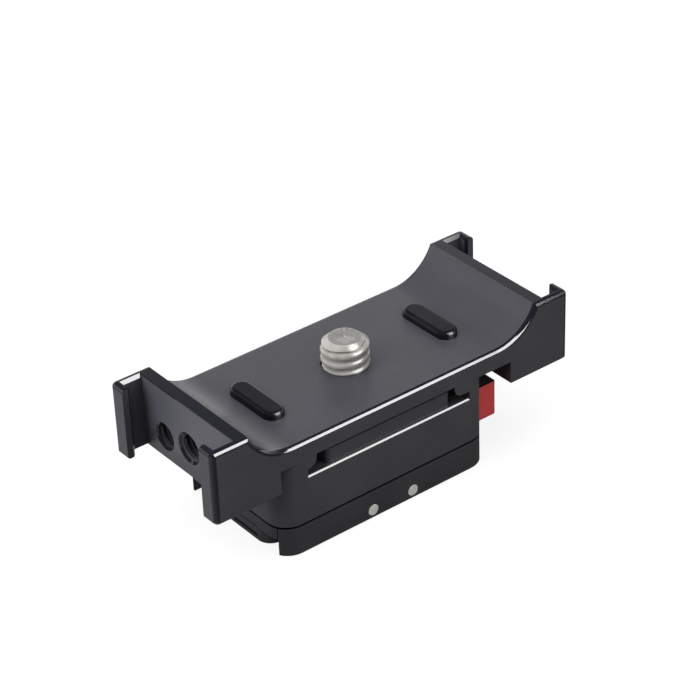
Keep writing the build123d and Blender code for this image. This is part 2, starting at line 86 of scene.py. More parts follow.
@dataclass
class NodeNet:
    """Adds and joins nodes in one shader tree."""

    tree: bpy.types.NodeTree

    def add(self, kind: str, **settings: object) -> bpy.types.Node:
        """Adds a node and gives it its settings.

        Args:
            kind: Blender's name of the node type.
            settings: Values for the node's own properties.

        Returns:
            The new node.
        """
        node = self.tree.nodes.new(kind)
        for name, value in settings.items():
            setattr(node, name, value)
        return node

    def feed(self, socket: Socket, value: object) -> None:
        """Joins an output to a socket, or writes a plain value on it.

        Args:
            socket: Input that takes the value.
            value: An output socket, a number or a list of numbers.
        """
        if isinstance(value, Socket):
            self.tree.links.new(value, socket)
        else:
            socket.default_value = value

    def sum_up(self, operation: str, *values: object, clamp: bool = False) -> Socket:
        """Works out one step of arithmetic.

        Args:
            operation: Name of the Math node's operation.
            values: Numbers or outputs for its inputs, in order.
            clamp: Whether the result is held between 0 and 1.

        Returns:
            The result's socket.
        """
        node = self.add("ShaderNodeMath", operation=operation, use_clamp=clamp)
        for socket, value in zip(node.inputs, values):
            self.feed(socket, value)
        return node.outputs[0]

    def times(self, *values: object) -> Socket:
        """Multiplies two or more numbers.

        Args:
            values: Numbers or outputs.

        Returns:
            The product's socket.
        """
        product = values[0]
        for value in values[1:]:
            product = self.sum_up("MULTIPLY", product, value)
        return product

    def left_over(self, share: object) -> Socket:
        """What a share leaves of 1."""
        return self.sum_up("SUBTRACT", 1.0, share)

    def size(self, value: object) -> Socket:
        """A number without its sign."""
        return self.sum_up("ABSOLUTE", value)

    def split(self, vector: object) -> list[Socket]:
        """Takes a vector apart.

        Args:
            vector: Socket with the vector.

        Returns:
            The sockets of its X, Y and Z.
        """
        node = self.add("ShaderNodeSeparateXYZ")
        self.feed(node.inputs[0], vector)
        return list(node.outputs)

    def normal(self) -> list[Socket]:
        """Parts of the surface's normal along the object's own axes."""
        return self.split(self.add("ShaderNodeTexCoord").outputs["Normal"])

    def ahead(self, parts: list[Socket], direction: tuple[float, float]) -> Socket:
        """How far a point lies in a level direction.

        Args:
            parts: Sockets of the point's X, Y and Z.
            direction: X and Y of the direction.

        Returns:
            The distance's socket.
        """
        reaches = [self.times(part, share) for part, share in zip(parts, direction)]
        return self.sum_up("ADD", *reaches)

    def step(self, value: object, place: float, width: float) -> Socket:
        """Smooth step over a length in millimetres.

        Args:
            value: Socket to read, in metres.
            place: Where the step is 0.
            width: How far on it is 1, below zero for a step that falls.

        Returns:
            The step's socket.
        """
        return self.ramp(value, place * MM, (place + width) * MM)

    def ramp(self, value: object, low: float, high: float) -> Socket:
        """Turns a range into a smooth step from 0 to 1.

        Args:
            value: Socket to read.
            low: Value at which the step starts.
            high: Value at which it ends.

        Returns:
            The step's socket.
        """
        node = self.add("ShaderNodeMapRange", interpolation_type="SMOOTHSTEP")
        self.feed(node.inputs["Value"], value)
        node.inputs["From Min"].default_value = low
        node.inputs["From Max"].default_value = high
        return node.outputs["Result"]

    def blend(self, share: object, first: object, second: object) -> Socket:
        """Mixes two colours.

        Args:
            share: How much of the second colour there is.
            first: First colour.
            second: Second colour.

        Returns:
            The mixed colour's socket.
        """
        node = self.add("ShaderNodeMix", data_type="RGBA")
        self.feed(node.inputs[0], share)
        self.feed(node.inputs[6], first)
        self.feed(node.inputs[7], second)
        return node.outputs[2]

    def between(self, share: object, first: object, second: object) -> Socket:
        """Mixes two numbers.

        Args:
            share: How much of the second number there is.
            first: First number.
            second: Second number.

        Returns:
            The mixed number's socket.
        """
        node = self.add("ShaderNodeMix", data_type="FLOAT")
        self.feed(node.inputs[0], share)
        self.feed(node.inputs[2], first)
        self.feed(node.inputs[3], second)
        return node.outputs[0]

    def noise(self, place: object, scale: object, detail: float = 2.0) -> Socket:
        """Cloudy noise in three dimensions.

        Args:
            place: Socket with the coordinates.
            scale: Spots for each metre.
            detail: How many finer layers there are.

        Returns:
            The noise's number socket.
        """
        node = self.add("ShaderNodeTexNoise")
        self.feed(node.inputs["Vector"], place)
        self.feed(node.inputs["Scale"], scale)
        node.inputs["Detail"].default_value = detail
        return node.outputs[0]

    def group(self, tree: bpy.types.NodeTree, **values: object) -> bpy.types.Node:
        """Places a shared group and feeds its inputs.

        Args:
            tree: The group's tree.
            values: Inputs by name, with underscores for spaces.

        Returns:
            The group's node.
        """
        node = self.add("ShaderNodeGroup")
        node.node_tree = tree
        for name, value in values.items():
            self.feed(node.inputs[name.replace("_", " ")], value)
        return node


def toned(colour: Colour, gain: float = 1.0) -> tuple[float, float, float, float]:
    """Colour made lighter or darker.

    Args:
        colour: Colour to start from.
        gain: How many times lighter it gets.

    Returns:
        The colour with full opacity.
    """
    return (*(min(1.0, channel * gain) for channel in colour), 1.0)


@dataclass(frozen=True)
class FinishBorders:
    """Where the plate's finish changes, in millimetres.

    Reaches go along X from the middle, the depth along Y, and the rest along Z. The last
    three are widths over which one finish turns into the other.
    """

    band_height: float = 20.2
    sweep_reach: float = 22.75
    table_height: float = 16.1
    end_reach: float = 18.4
    hole_floor: float = 18.9
    hole_reach: float = 24.1
    hole_top: float = 16.0
    seam_height: float = 4.35
    seam_half: float = 0.15
    seam_blur: float = 0.02
    painted_shadow_bottom: float = 13.19
    painted_shadow_top: float = 13.83
    painted_shadow_depth: float = 10.45
    painted_shadow_reach: float = 13.05
    web_reach: float = 24.4
    web_half: float = 0.06
    web_foot: float = 10.5
    web_fade: float = 4.5
    fine: float = 0.03
    narrow: float = 0.05
    wide: float = 0.1


@dataclass
class SharedEffects:
    """Node groups that several finishes use, each built once."""

    borders: FinishBorders = FinishBorders()

    def __post_init__(self) -> None:
        """Builds each group once."""
        self.grain = self.build_grain()
        self.wear = self.build_wear()
        self.rings = self.build_rings()
        self.edges = self.build_edges()
        self.joints = self.build_seam_and_shadow()
        self.webs = self.build_web_light()

    def new_group(
        self, name: str, inputs: dict[str, object], outputs: dict[str, str]
    ) -> tuple[NodeNet, bpy.types.Node, bpy.types.Node]:
        """Starts a node group with its sockets.

        Args:
            name: Name of the group.
            inputs: Default number of each input, or None for a vector.
            outputs: Socket type of each output.

        Returns:
            The net, the group's input node and its output node.
        """
        tree = bpy.data.node_groups.new(name, "ShaderNodeTree")
        for label, value in inputs.items():
            kind = "NodeSocketVector" if value is None else "NodeSocketFloat"
            socket = tree.interface.new_socket(label, in_out="INPUT", socket_type=kind)
            if value is not None:
                socket.default_value = value
        for label, kind in outputs.items():
            tree.interface.new_socket(label, in_out="OUTPUT", socket_type=kind)
        net = NodeNet(tree)
        return net, net.add("NodeGroupInput"), net.add("NodeGroupOutput")

    def build_grain(self) -> bpy.types.NodeTree:
        """Fine pitted grain of a bead-blasted face, with slow changes of tone.

        Returns:
            The group's tree.
        """
        inputs = {"Vector": None, "Scale": 9000.0}
        outputs = {label: "NodeSocketFloat" for label in ("Height", "Tone", "Speckle")}
        net, given, result = self.new_group("blasted_grain", inputs, outputs)
        place = given.outputs["Vector"]
        fine = net.noise(place, given.outputs["Scale"], 3.0)
        pits = net.add("ShaderNodeTexVoronoi", feature="SMOOTH_F1")
        net.feed(pits.inputs["Vector"], place)
        net.feed(pits.inputs["Scale"], net.times(given.outputs["Scale"], 0.55))
        net.feed(result.inputs["Height"], net.between(0.45, fine, pits.outputs["Distance"]))
        net.feed(result.inputs["Tone"], net.noise(place, 160.0, 3.0))
        net.feed(result.inputs["Speckle"], net.ramp(fine, 0.56, 0.72))
        return net.tree

    def build_wear(self) -> bpy.types.NodeTree:
        """Broken rubbed line where two faces meet, and a normal that rounds that edge.

        Returns:
            The group's tree.
        """
        inputs = {"Vector": None, "Radius": 0.0001, "Breakup": 900.0}
        outputs = {"Mask": "NodeSocketFloat", "Normal": "NodeSocketVector"}
        net, given, result = self.new_group("edge_wear", inputs, outputs)
        rounded = net.add("ShaderNodeBevel", samples=6)
        net.feed(rounded.inputs["Radius"], given.outputs["Radius"])
        true_normal = net.add("ShaderNodeNewGeometry").outputs["Normal"]
        dot = net.add("ShaderNodeVectorMath", operation="DOT_PRODUCT")
        net.feed(dot.inputs[0], rounded.outputs[0])
        net.feed(dot.inputs[1], true_normal)
        edge = net.ramp(net.left_over(dot.outputs["Value"]), 0.02, 0.25)
        noise = net.noise(given.outputs["Vector"], given.outputs["Breakup"], 4.0)
        net.feed(result.inputs["Mask"], net.times(edge, net.ramp(noise, 0.42, 0.68)))
        net.feed(result.inputs["Normal"], rounded.outputs[0])
        return net.tree

    def build_rings(self) -> bpy.types.NodeTree:
        """Fine lathe rings round the Z axis of the given coordinates.

        Returns:
            The group's tree.
        """
        inputs = {"Vector": None, "Scale": 6000.0}
        outputs = {"Height": "NodeSocketFloat", "Tone": "NodeSocketFloat"}
        net, given, result = self.new_group("turning_rings", inputs, outputs)
        spot = net.split(given.outputs["Vector"])
        reach = net.sum_up("SQRT", net.sum_up("ADD", *(net.times(part, part) for part in spot[:2])))
        along = net.add("ShaderNodeCombineXYZ")
        net.feed(along.inputs[0], reach)
        net.feed(along.inputs[1], spot[2])
        rings = net.noise(along.outputs[0], given.outputs["Scale"])
        net.feed(result.inputs["Height"], rings)
        net.feed(result.inputs["Tone"], net.noise(given.outputs["Vector"], 700.0, 3.0))
        return net.tree

    def build_edges(self) -> bpy.types.NodeTree:
        """Mask of smooth cut metal: chamfers, rounded edges, and the tops of the end blocks.

        Returns:
            The group's tree.
        """
        inputs, outputs = {"Vector": None, "Cut From": 0.01}, {"Mask": "NodeSocketFloat"}
        net, given, result = self.new_group("cut_edges", inputs, outputs)
        at = self.borders
        leans = [net.size(part) for part in net.normal()]
        spot = net.split(given.outputs["Vector"])
        across, height = net.size(spot[0]), spot[2]
        largest = net.sum_up("MAXIMUM", net.sum_up("MAXIMUM", leans[0], leans[1]), leans[2])
        tilted = net.ramp(net.left_over(largest), 0.002, 0.008)
        upright = net.times(
            net.ramp(leans[2], 0.25, 0.12),
            net.step(across, at.end_reach, -at.wide),
        )
        on_sweep = net.times(
            net.ramp(leans[1], 0.1, 0.05),
            net.step(height, at.table_height, at.narrow),
            net.step(across, at.sweep_reach, -at.narrow),
        )
        in_hole = net.times(
            net.step(across, at.hole_floor, at.wide),
            net.step(across, at.hole_reach, -at.wide),
            net.step(height, at.hole_top, -at.narrow),
        )
        above = net.sum_up("SUBTRACT", height, given.outputs["Cut From"])
        edges = net.times(
            tilted,
            net.left_over(net.sum_up("MAXIMUM", upright, on_sweep)),
            net.step(above, 0.0, at.wide),
            net.left_over(in_hole),
        )
        band = net.times(
            net.step(height, at.band_height, at.narrow),
            net.step(across, at.sweep_reach - at.narrow, at.narrow),
        )
        net.feed(result.inputs["Mask"], net.sum_up("MAXIMUM", edges, band))
        return net.tree

    def build_seam_and_shadow(self) -> bpy.types.NodeTree:
        """Mask of the dark parting line, and of a painted shadow line on the lock slide just below
        the slot's roof.

        Returns:
            The group's tree.
        """
        inputs, outputs = {"Vector": None}, {"Mask": "NodeSocketFloat"}
        net, given, result = self.new_group("dark_seam_and_painted_shadow", inputs, outputs)
        at = self.borders
        spot = net.split(given.outputs["Vector"])
        apart = net.size(net.sum_up("SUBTRACT", spot[2], at.seam_height * MM))
        seam = net.step(apart, at.seam_half, -at.seam_blur)
        # painted shadow: a dark band on the lock slide's face just below the slot's roof, where the
        # roof's edge shades it
        painted_shadow = net.times(
            net.step(spot[2], at.painted_shadow_bottom, at.fine),
            net.step(spot[2], at.painted_shadow_top, -at.fine),
            net.step(net.size(spot[0]), at.painted_shadow_reach, -at.narrow),
            net.step(net.size(spot[1]), at.painted_shadow_depth, -at.narrow),
        )
        net.feed(result.inputs["Mask"], net.sum_up("MAXIMUM", seam, painted_shadow))
        return net.tree

    def build_web_light(self) -> bpy.types.NodeTree:
        """Mask of painted light on the outer faces of the channel webs, which fades towards their
        feet.

        Returns:
            The group's tree.
        """
        inputs, outputs = {"Vector": None}, {"Mask": "NodeSocketFloat"}
        net, given, result = self.new_group("painted_web_light", inputs, outputs)
        at = self.borders
        spot = net.split(given.outputs["Vector"])
        apart = net.size(net.sum_up("SUBTRACT", net.size(spot[0]), at.web_reach * MM))
        share = net.times(
            net.ramp(net.size(net.normal()[0]), 0.9, 0.95),
            net.step(apart, at.web_half, -at.fine),
            net.step(spot[2], at.web_foot, at.web_fade),
        )
        net.feed(result.inputs["Mask"], share)
        return net.tree


@dataclass(frozen=True)
class Finish:
    """What every finish shares: its name and its empty material."""

    name: str

    def start(self) -> tuple[bpy.types.Material, NodeNet, bpy.types.Node, Socket]:
        """Makes the material with its shader and its Object coordinates.

        Returns:
            The material, its net, its Principled BSDF and the coordinates' socket.
        """
        material = bpy.data.materials.new(self.name)
        material.use_nodes = True
        net = NodeNet(material.node_tree)
        shader = material.node_tree.nodes["Principled BSDF"]
        place = net.add("ShaderNodeTexCoord").outputs["Object"]
        return material, net, shader, place

    def bump(
        self, net: NodeNet, height: object, depth: float, strength: float, normal: object = None
    ) -> Socket:
        """Bump node from a height.

        Args:
            net: Net of the material.
            height: Socket with the height.
            depth: Depth of the relief in millimetres.
            strength: Share of the relief that shows.
            normal: Socket with the normal that the relief stands on.

        Returns:
            The bumped normal's socket.
        """
        node = net.add("ShaderNodeBump")
        net.feed(node.inputs["Height"], height)
        node.inputs["Distance"].default_value = depth * MM
        node.inputs["Strength"].default_value = strength
        if normal is not None:
            net.feed(node.inputs["Normal"], normal)
        return node.outputs[0]


@dataclass(frozen=True)
class AnodisedAluminium(Finish):
    """Blasted and dyed aluminium whose edges were cut smooth before the dye."""

    matt: Colour
    cut: Colour
    rubbed: Colour
    matt_roughness: float = 0.37
    cut_roughness: float = 0.11
    cut_from: float = 10.5
    web_light_gain: float = 2.1
    light_gain: float = 1.25
    dark_gain: float = 0.86
    speckle_share: float = 0.22
    wear_share: float = 0.2
    seam_and_shadow_black: Colour = (0.0003, 0.0003, 0.0004)

    def dye(self, net: NodeNet, place: Socket, colour: Socket) -> tuple[object, object]:
        """Leaves the colour as it is, with no painted shade, for pieces that are dyed all over."""
        return colour, 0.0

    def dyed_faces(self, net: NodeNet, clouds: Socket, specks: Socket, webs: Socket) -> Socket:
        """Colour of the blasted faces, with their clouds, specks and painted light on the webs.

        Args:
            net: Net of the material.
            clouds: Slow changes of tone, above and below 0.
            specks: Mask of the grain's light specks.
            webs: Mask of the painted light on the webs.

        Returns:
            The colour's socket.
        """
        dark, light = (toned(self.matt, gain) for gain in (self.dark_gain, self.light_gain))
        faces = net.blend(net.sum_up("ADD", clouds, 0.45, clamp=True), dark, light)
        faces = net.blend(net.times(specks, self.speckle_share), faces, toned(self.rubbed))
        # painted light: the webs' outer faces are made lighter
        return net.blend(webs, faces, toned(self.matt, self.web_light_gain))

    def build(self, shared: SharedEffects) -> bpy.types.Material:
        """Makes the material.

        Args:
            shared: Shared node groups.

        Returns:
            The finished material.
        """
        material, net, shader, place = self.start()
        edges = net.group(shared.edges, Vector=place, Cut_From=self.cut_from * MM)
        smooth = edges.outputs["Mask"]
        grain = net.group(shared.grain, Vector=place, Scale=8500.0)
        wear = net.group(shared.wear, Vector=place, Radius=0.09 * MM, Breakup=1400.0)
        webs = net.group(shared.webs, Vector=place).outputs["Mask"]
        clouds = net.times(net.sum_up("SUBTRACT", grain.outputs["Tone"], 0.5), 0.5)
        faces = self.dyed_faces(net, clouds, grain.outputs["Speckle"], webs)
        colour = net.blend(smooth, faces, toned(self.cut))
        rubbed = net.times(wear.outputs["Mask"], self.wear_share)
        colour, painted_shade = self.dye(net, place, net.blend(rubbed, colour, toned(self.rubbed)))
        seam_and_shadow_mask = net.group(shared.joints, Vector=place).outputs["Mask"]
        net.feed(shader.inputs["Base Color"], net.blend(seam_and_shadow_mask, colour, toned(self.seam_and_shadow_black)))
        blasted = net.sum_up("ADD", self.matt_roughness, net.times(clouds, 0.2))
        net.feed(shader.inputs["Roughness"], net.between(smooth, blasted, self.cut_roughness))
        relief = net.times(grain.outputs["Height"], net.left_over(smooth))
        net.feed(shader.inputs["Normal"], self.bump(net, relief, 0.008, 0.35))
        # a black metal reflects nothing, which keeps the dark seam, the painted shadow line on the
        # lock slide and the painted shade on the button's top dark
        net.feed(shader.inputs["Metallic"], net.sum_up("MAXIMUM", seam_and_shadow_mask, painted_shade))
        shader.inputs["IOR"].default_value = 1.5
        return material


@dataclass(frozen=True)
class DyedBar(AnodisedAluminium):
    """Button bar in a bright dye, whose arms stay black, with painted shade on its upper face and
    the chamfer below it.
    """

    arm_black_and_top_shade: Colour = (0.02, 0.014, 0.02)
    shaded: Colour = (0.0003, 0.0002, 0.0003)
    bar_start: float = 12.75

    def dye(self, net: NodeNet, place: Socket, colour: Socket) -> tuple[object, object]:
        """Takes the dye away from the arms, and paints shade on the upper face and its chamfer.

        Args:
            net: Net of the material.
            place: Object coordinates.
            colour: Colour of the dyed metal.

        Returns:
            The colour with its black arms and painted shade, and the share of painted shade on each
            part.
        """
        arm = net.step(net.split(place)[0], self.bar_start, -0.1)
        # painted shade: the button's upper face and its chamfer are darkened, as if shaded by the
        # table above, and the chamfer reflects nothing
        facing_up = net.normal()[2]
        upper = net.ramp(facing_up, 0.4, 0.55)
        painted_shade = net.times(upper, net.ramp(facing_up, 0.92, 0.8))
        colour = net.blend(net.sum_up("MAXIMUM", arm, upper), colour, toned(self.arm_black_and_top_shade))
        return net.blend(painted_shade, colour, toned(self.shaded)), painted_shade


@dataclass(frozen=True)
class TurnedSteel(Finish):
    """Steel turned on a lathe, with fine rings round its own axis."""

    colour: Colour
    groove: Colour
    roughness: float = 0.36
    metallic: float = 1.0
    relief: float = 0.2
    axis: str = "Z"
    ring_scale: float = 7000.0
    top_shade: Colour | None = None
    top_shade_from: float = 20.1
    shine: float = 0.5

    def build(self, shared: SharedEffects) -> bpy.types.Material:
        """Makes the material.

        Args:
            shared: Shared node groups.

        Returns:
            The finished material.
        """
        material, net, shader, place = self.start()
        turned = net.add("ShaderNodeMapping")
        net.feed(turned.inputs["Vector"], place)
        if self.axis == "Y":
            turned.inputs["Rotation"].default_value[0] = math.pi / 2
        rings = net.group(shared.rings, Vector=turned.outputs[0], Scale=self.ring_scale)
        grain = net.group(shared.grain, Vector=place, Scale=12000.0)
        wear = net.group(shared.wear, Vector=place, Radius=0.08 * MM, Breakup=1600.0)
        tarnish = net.times(net.ramp(rings.outputs["Tone"], 0.4, 0.75), 0.6)
        colour = net.blend(tarnish, toned(self.colour), toned(self.groove))
        colour = net.blend(wear.outputs["Mask"], colour, toned(self.colour, 1.2))
        # painted shade: the screw's flat top is darker than its sides
        if self.top_shade is not None:
            top = net.step(net.split(place)[2], self.top_shade_from, 0.03)
            colour = net.blend(top, colour, toned(self.top_shade))
        net.feed(shader.inputs["Base Color"], colour)
        rough = net.times(net.sum_up("SUBTRACT", rings.outputs["Height"], 0.5), 0.25)
        net.feed(shader.inputs["Roughness"], net.sum_up("ADD", rough, self.roughness, clamp=True))
        height = net.between(0.3, rings.outputs["Height"], grain.outputs["Height"])
        relief = self.bump(net, height, 0.01, self.relief, wear.outputs["Normal"])
        net.feed(shader.inputs["Normal"], relief)
        shader.inputs["Metallic"].default_value = self.metallic
        shader.inputs["Specular IOR Level"].default_value = self.shine
        return material


@dataclass(frozen=True)
class OxideSteel(Finish):
    """Small steel parts with an oxide or drawn finish."""

    colour: Colour
    rubbed: Colour
    roughness: float = 0.36
    metallic: float = 0.85

    def build(self, shared: SharedEffects) -> bpy.types.Material:
        """Makes the material.

        Args:
            shared: Shared node groups.

        Returns:
            The finished material.
        """
        material, net, shader, place = self.start()
        grain = net.group(shared.grain, Vector=place, Scale=10000.0)
        wear = net.group(shared.wear, Vector=place, Radius=0.07 * MM, Breakup=2000.0)
        tone = net.ramp(grain.outputs["Tone"], 0.35, 0.7)
        colour = net.blend(tone, toned(self.colour, 0.75), toned(self.colour))
        colour = net.blend(wear.outputs["Mask"], colour, toned(self.rubbed))
        net.feed(shader.inputs["Base Color"], colour)
        rough = net.times(net.sum_up("SUBTRACT", tone, 0.5), 0.12)
        net.feed(shader.inputs["Roughness"], net.sum_up("ADD", rough, self.roughness, clamp=True))
        relief = self.bump(net, grain.outputs["Height"], 0.005, 0.3, wear.outputs["Normal"])
        net.feed(shader.inputs["Normal"], relief)
        shader.inputs["Metallic"].default_value = self.metallic
        return material


@dataclass(frozen=True)
class MouldedRubber(Finish):
    """Black rubber with a fine moulded texture and a little dust."""

    colour: Colour
    dust: Colour
    roughness: float = 0.24

    def build(self, shared: SharedEffects) -> bpy.types.Material:
        """Makes the material.

        Args:
            shared: Shared node groups.

        Returns:
            The finished material.
        """
        material, net, shader, place = self.start()
        grain = net.group(shared.grain, Vector=place, Scale=7000.0)
        dusty = net.times(net.ramp(grain.outputs["Tone"], 0.5, 0.8), 0.35)
        colour = net.blend(dusty, toned(self.colour), toned(self.dust))
        net.feed(shader.inputs["Base Color"], colour)
        rough = net.times(grain.outputs["Tone"], 0.12)
        net.feed(shader.inputs["Roughness"], net.sum_up("ADD", rough, self.roughness - 0.06))
        net.feed(shader.inputs["Normal"], self.bump(net, grain.outputs["Height"], 0.004, 0.15))
        shader.inputs["IOR"].default_value = 1.34
        return material


@dataclass
class FinishBook:
    """Every finish of the plate, and which CAD node wears which."""

    shared: SharedEffects

    def __post_init__(self) -> None:
        """Builds the materials once."""
        self.black = AnodisedAluminium(
            "black_blasted_aluminium",
            matt=(0.0325, 0.033, 0.0395),
            cut=(0.008, 0.008, 0.0125),
            rubbed=(0.15, 0.15, 0.158),
        ).build(self.shared)
        # darker copies of the black finish are painted shade: this one on the receiver plate and
        # the jaw, the next one on the thread ridges inside the holes
        self.lower = AnodisedAluminium(
            "shaded_lower_black_aluminium",
            matt=(0.018, 0.0183, 0.0225),
            cut=(0.008, 0.008, 0.0125),
            rubbed=(0.11, 0.11, 0.118),
        ).build(self.shared)
        self.deep = AnodisedAluminium(
            "shaded_black_aluminium",
            matt=(0.012, 0.012, 0.0145),
            cut=(0.006, 0.006, 0.009),
            rubbed=(0.05, 0.05, 0.053),
        ).build(self.shared)
        self.red = DyedBar(
            "red_blasted_aluminium",
            matt=(0.66, 0.036, 0.042),
            cut=(0.6, 0.03, 0.035),
            rubbed=(0.7, 0.12, 0.12),
            cut_from=30.0,
        ).build(self.shared)
        self.bright = TurnedSteel(
            "bright_turned_steel",
            colour=(0.68, 0.66, 0.63),
            groove=(0.5, 0.48, 0.46),
        ).build(self.shared)
        self.screw = TurnedSteel(
            "camera_screw_steel",
            colour=(0.29, 0.282, 0.265),
            groove=(0.17, 0.163, 0.15),
            roughness=0.26,
            metallic=0.06,
            top_shade=(0.158, 0.154, 0.144),
            shine=0.25,
        ).build(self.shared)
        self.pin = TurnedSteel(
            "bright_pin_steel",
            colour=(0.7, 0.675, 0.635),
            groove=(0.56, 0.54, 0.505),
            roughness=0.45,
            metallic=0.15,
            axis="Y",
        ).build(self.shared)
        self.spring = OxideSteel(
            "drawn_spring_steel",
            colour=(0.46, 0.45, 0.43),
            rubbed=(0.7, 0.69, 0.66),
            roughness=0.3,
            metallic=1.0,
        ).build(self.shared)
        self.dark = OxideSteel(
            "dark_oxide_steel",
            colour=(0.05, 0.05, 0.055),
            rubbed=(0.22, 0.22, 0.22),
        ).build(self.shared)
        self.rubber = MouldedRubber(
            "moulded_black_rubber",
            colour=(0.004, 0.0042, 0.006),
            dust=(0.012, 0.012, 0.0145),
        ).build(self.shared)

    def of_node(self, name: str) -> bpy.types.Material:
        """Finish that a CAD node wears.

        Args:
            name: Name of the node.

        Returns:
            Its material.
        """
        by_word = {
            "release_button": self.red,
            "receiver_plate": self.lower,
            "clamp_jaw": self.lower,
            "return_spring": self.spring,
            "locating_pin": self.pin,
            "rubber_pad": self.rubber,
            "screw_washer": self.bright,
            "camera_screw": self.screw,
            "jaw_sleeve": self.bright,
            "plate_screw": self.dark,
            "jaw_screw": self.dark,
            "button_screw": self.dark,
        }
        found = [material for word, material in by_word.items() if name.startswith(word)]
        return found[0] if found else self.black

    def dress(self, nodes: dict[str, bpy.types.Object]) -> None:
        """Gives every CAD node its finish.

        Args:
            nodes: CAD nodes by name.
        """
        for name, piece in sorted(nodes.items()):
            material = self.of_node(name)
            for slot in piece.material_slots:
                slot.material = material
            log.info("%s wears %s", name, material.name)


def object_from(
    bm: bmesh.types.BMesh, name: str, material: bpy.types.Material, sharp_degrees: float = 32.0
) -> bpy.types.Object:
    """Turns a bmesh into a linked object at the origin, shaded smooth between its sharp edges.

    Args:
        bm: The finished bmesh, in metres.
        name: Name of the piece.
        material: Its finish.
        sharp_degrees: Angle from which an edge stays sharp.

    Returns:
        The new object.
    """
    bmesh.ops.recalc_face_normals(bm, faces=bm.faces)
    mesh = bpy.data.meshes.new(name)
    bm.to_mesh(mesh)
    bm.free()
    mesh.shade_smooth()
    mesh.set_sharp_from_angle(angle=math.radians(sharp_degrees))
    mesh.materials.append(material)
    piece = bpy.data.objects.new(name, mesh)
    bpy.context.scene.collection.objects.link(piece)
    return piece


def cut_off(bm: bmesh.types.BMesh, height: float, upper: bool) -> None:
    """Cuts a bmesh at a height and takes one side away.

    Args:
        bm: The bmesh, in metres.
        height: Height of the cut in metres.
        upper: True to take the upper side away.
    """
    bmesh.ops.bisect_plane(
        bm,
        geom=bm.verts[:] + bm.edges[:] + bm.faces[:],
        dist=1e-8,
        plane_co=(0, 0, height),
        plane_no=(0, 0, 1 if upper else -1),
        clear_outer=True,
    )


def open_edges(bm: bmesh.types.BMesh) -> list[bmesh.types.BMEdge]:
    """Edges that only one face uses."""
    return [edge for edge in bm.edges if edge.is_boundary]


def wind_along_x(
    bm: bmesh.types.BMesh, geom: list, centre: Vector, length: float, turns: float, count: int
) -> None:
    """Winds a closed profile into a coil along X, and closes its ends.

    Args:
        bm: The bmesh with the profile, in metres.
        geom: Vertices and edges of the profile.
        centre: A point of the coil's axis.
        length: How far the coil goes along X, in metres.
        turns: How many times it goes round.
        count: Steps of the whole coil.
    """
    bmesh.ops.spin(
        bm,
        geom=geom,
        cent=centre,
        axis=(1, 0, 0),
        dvec=Vector((length / count, 0, 0)),
        angle=math.tau * turns,
        steps=count,
    )
    bmesh.ops.remove_doubles(bm, verts=bm.verts, dist=1e-8)
    bmesh.ops.holes_fill(bm, edges=open_edges(bm), sides=0)


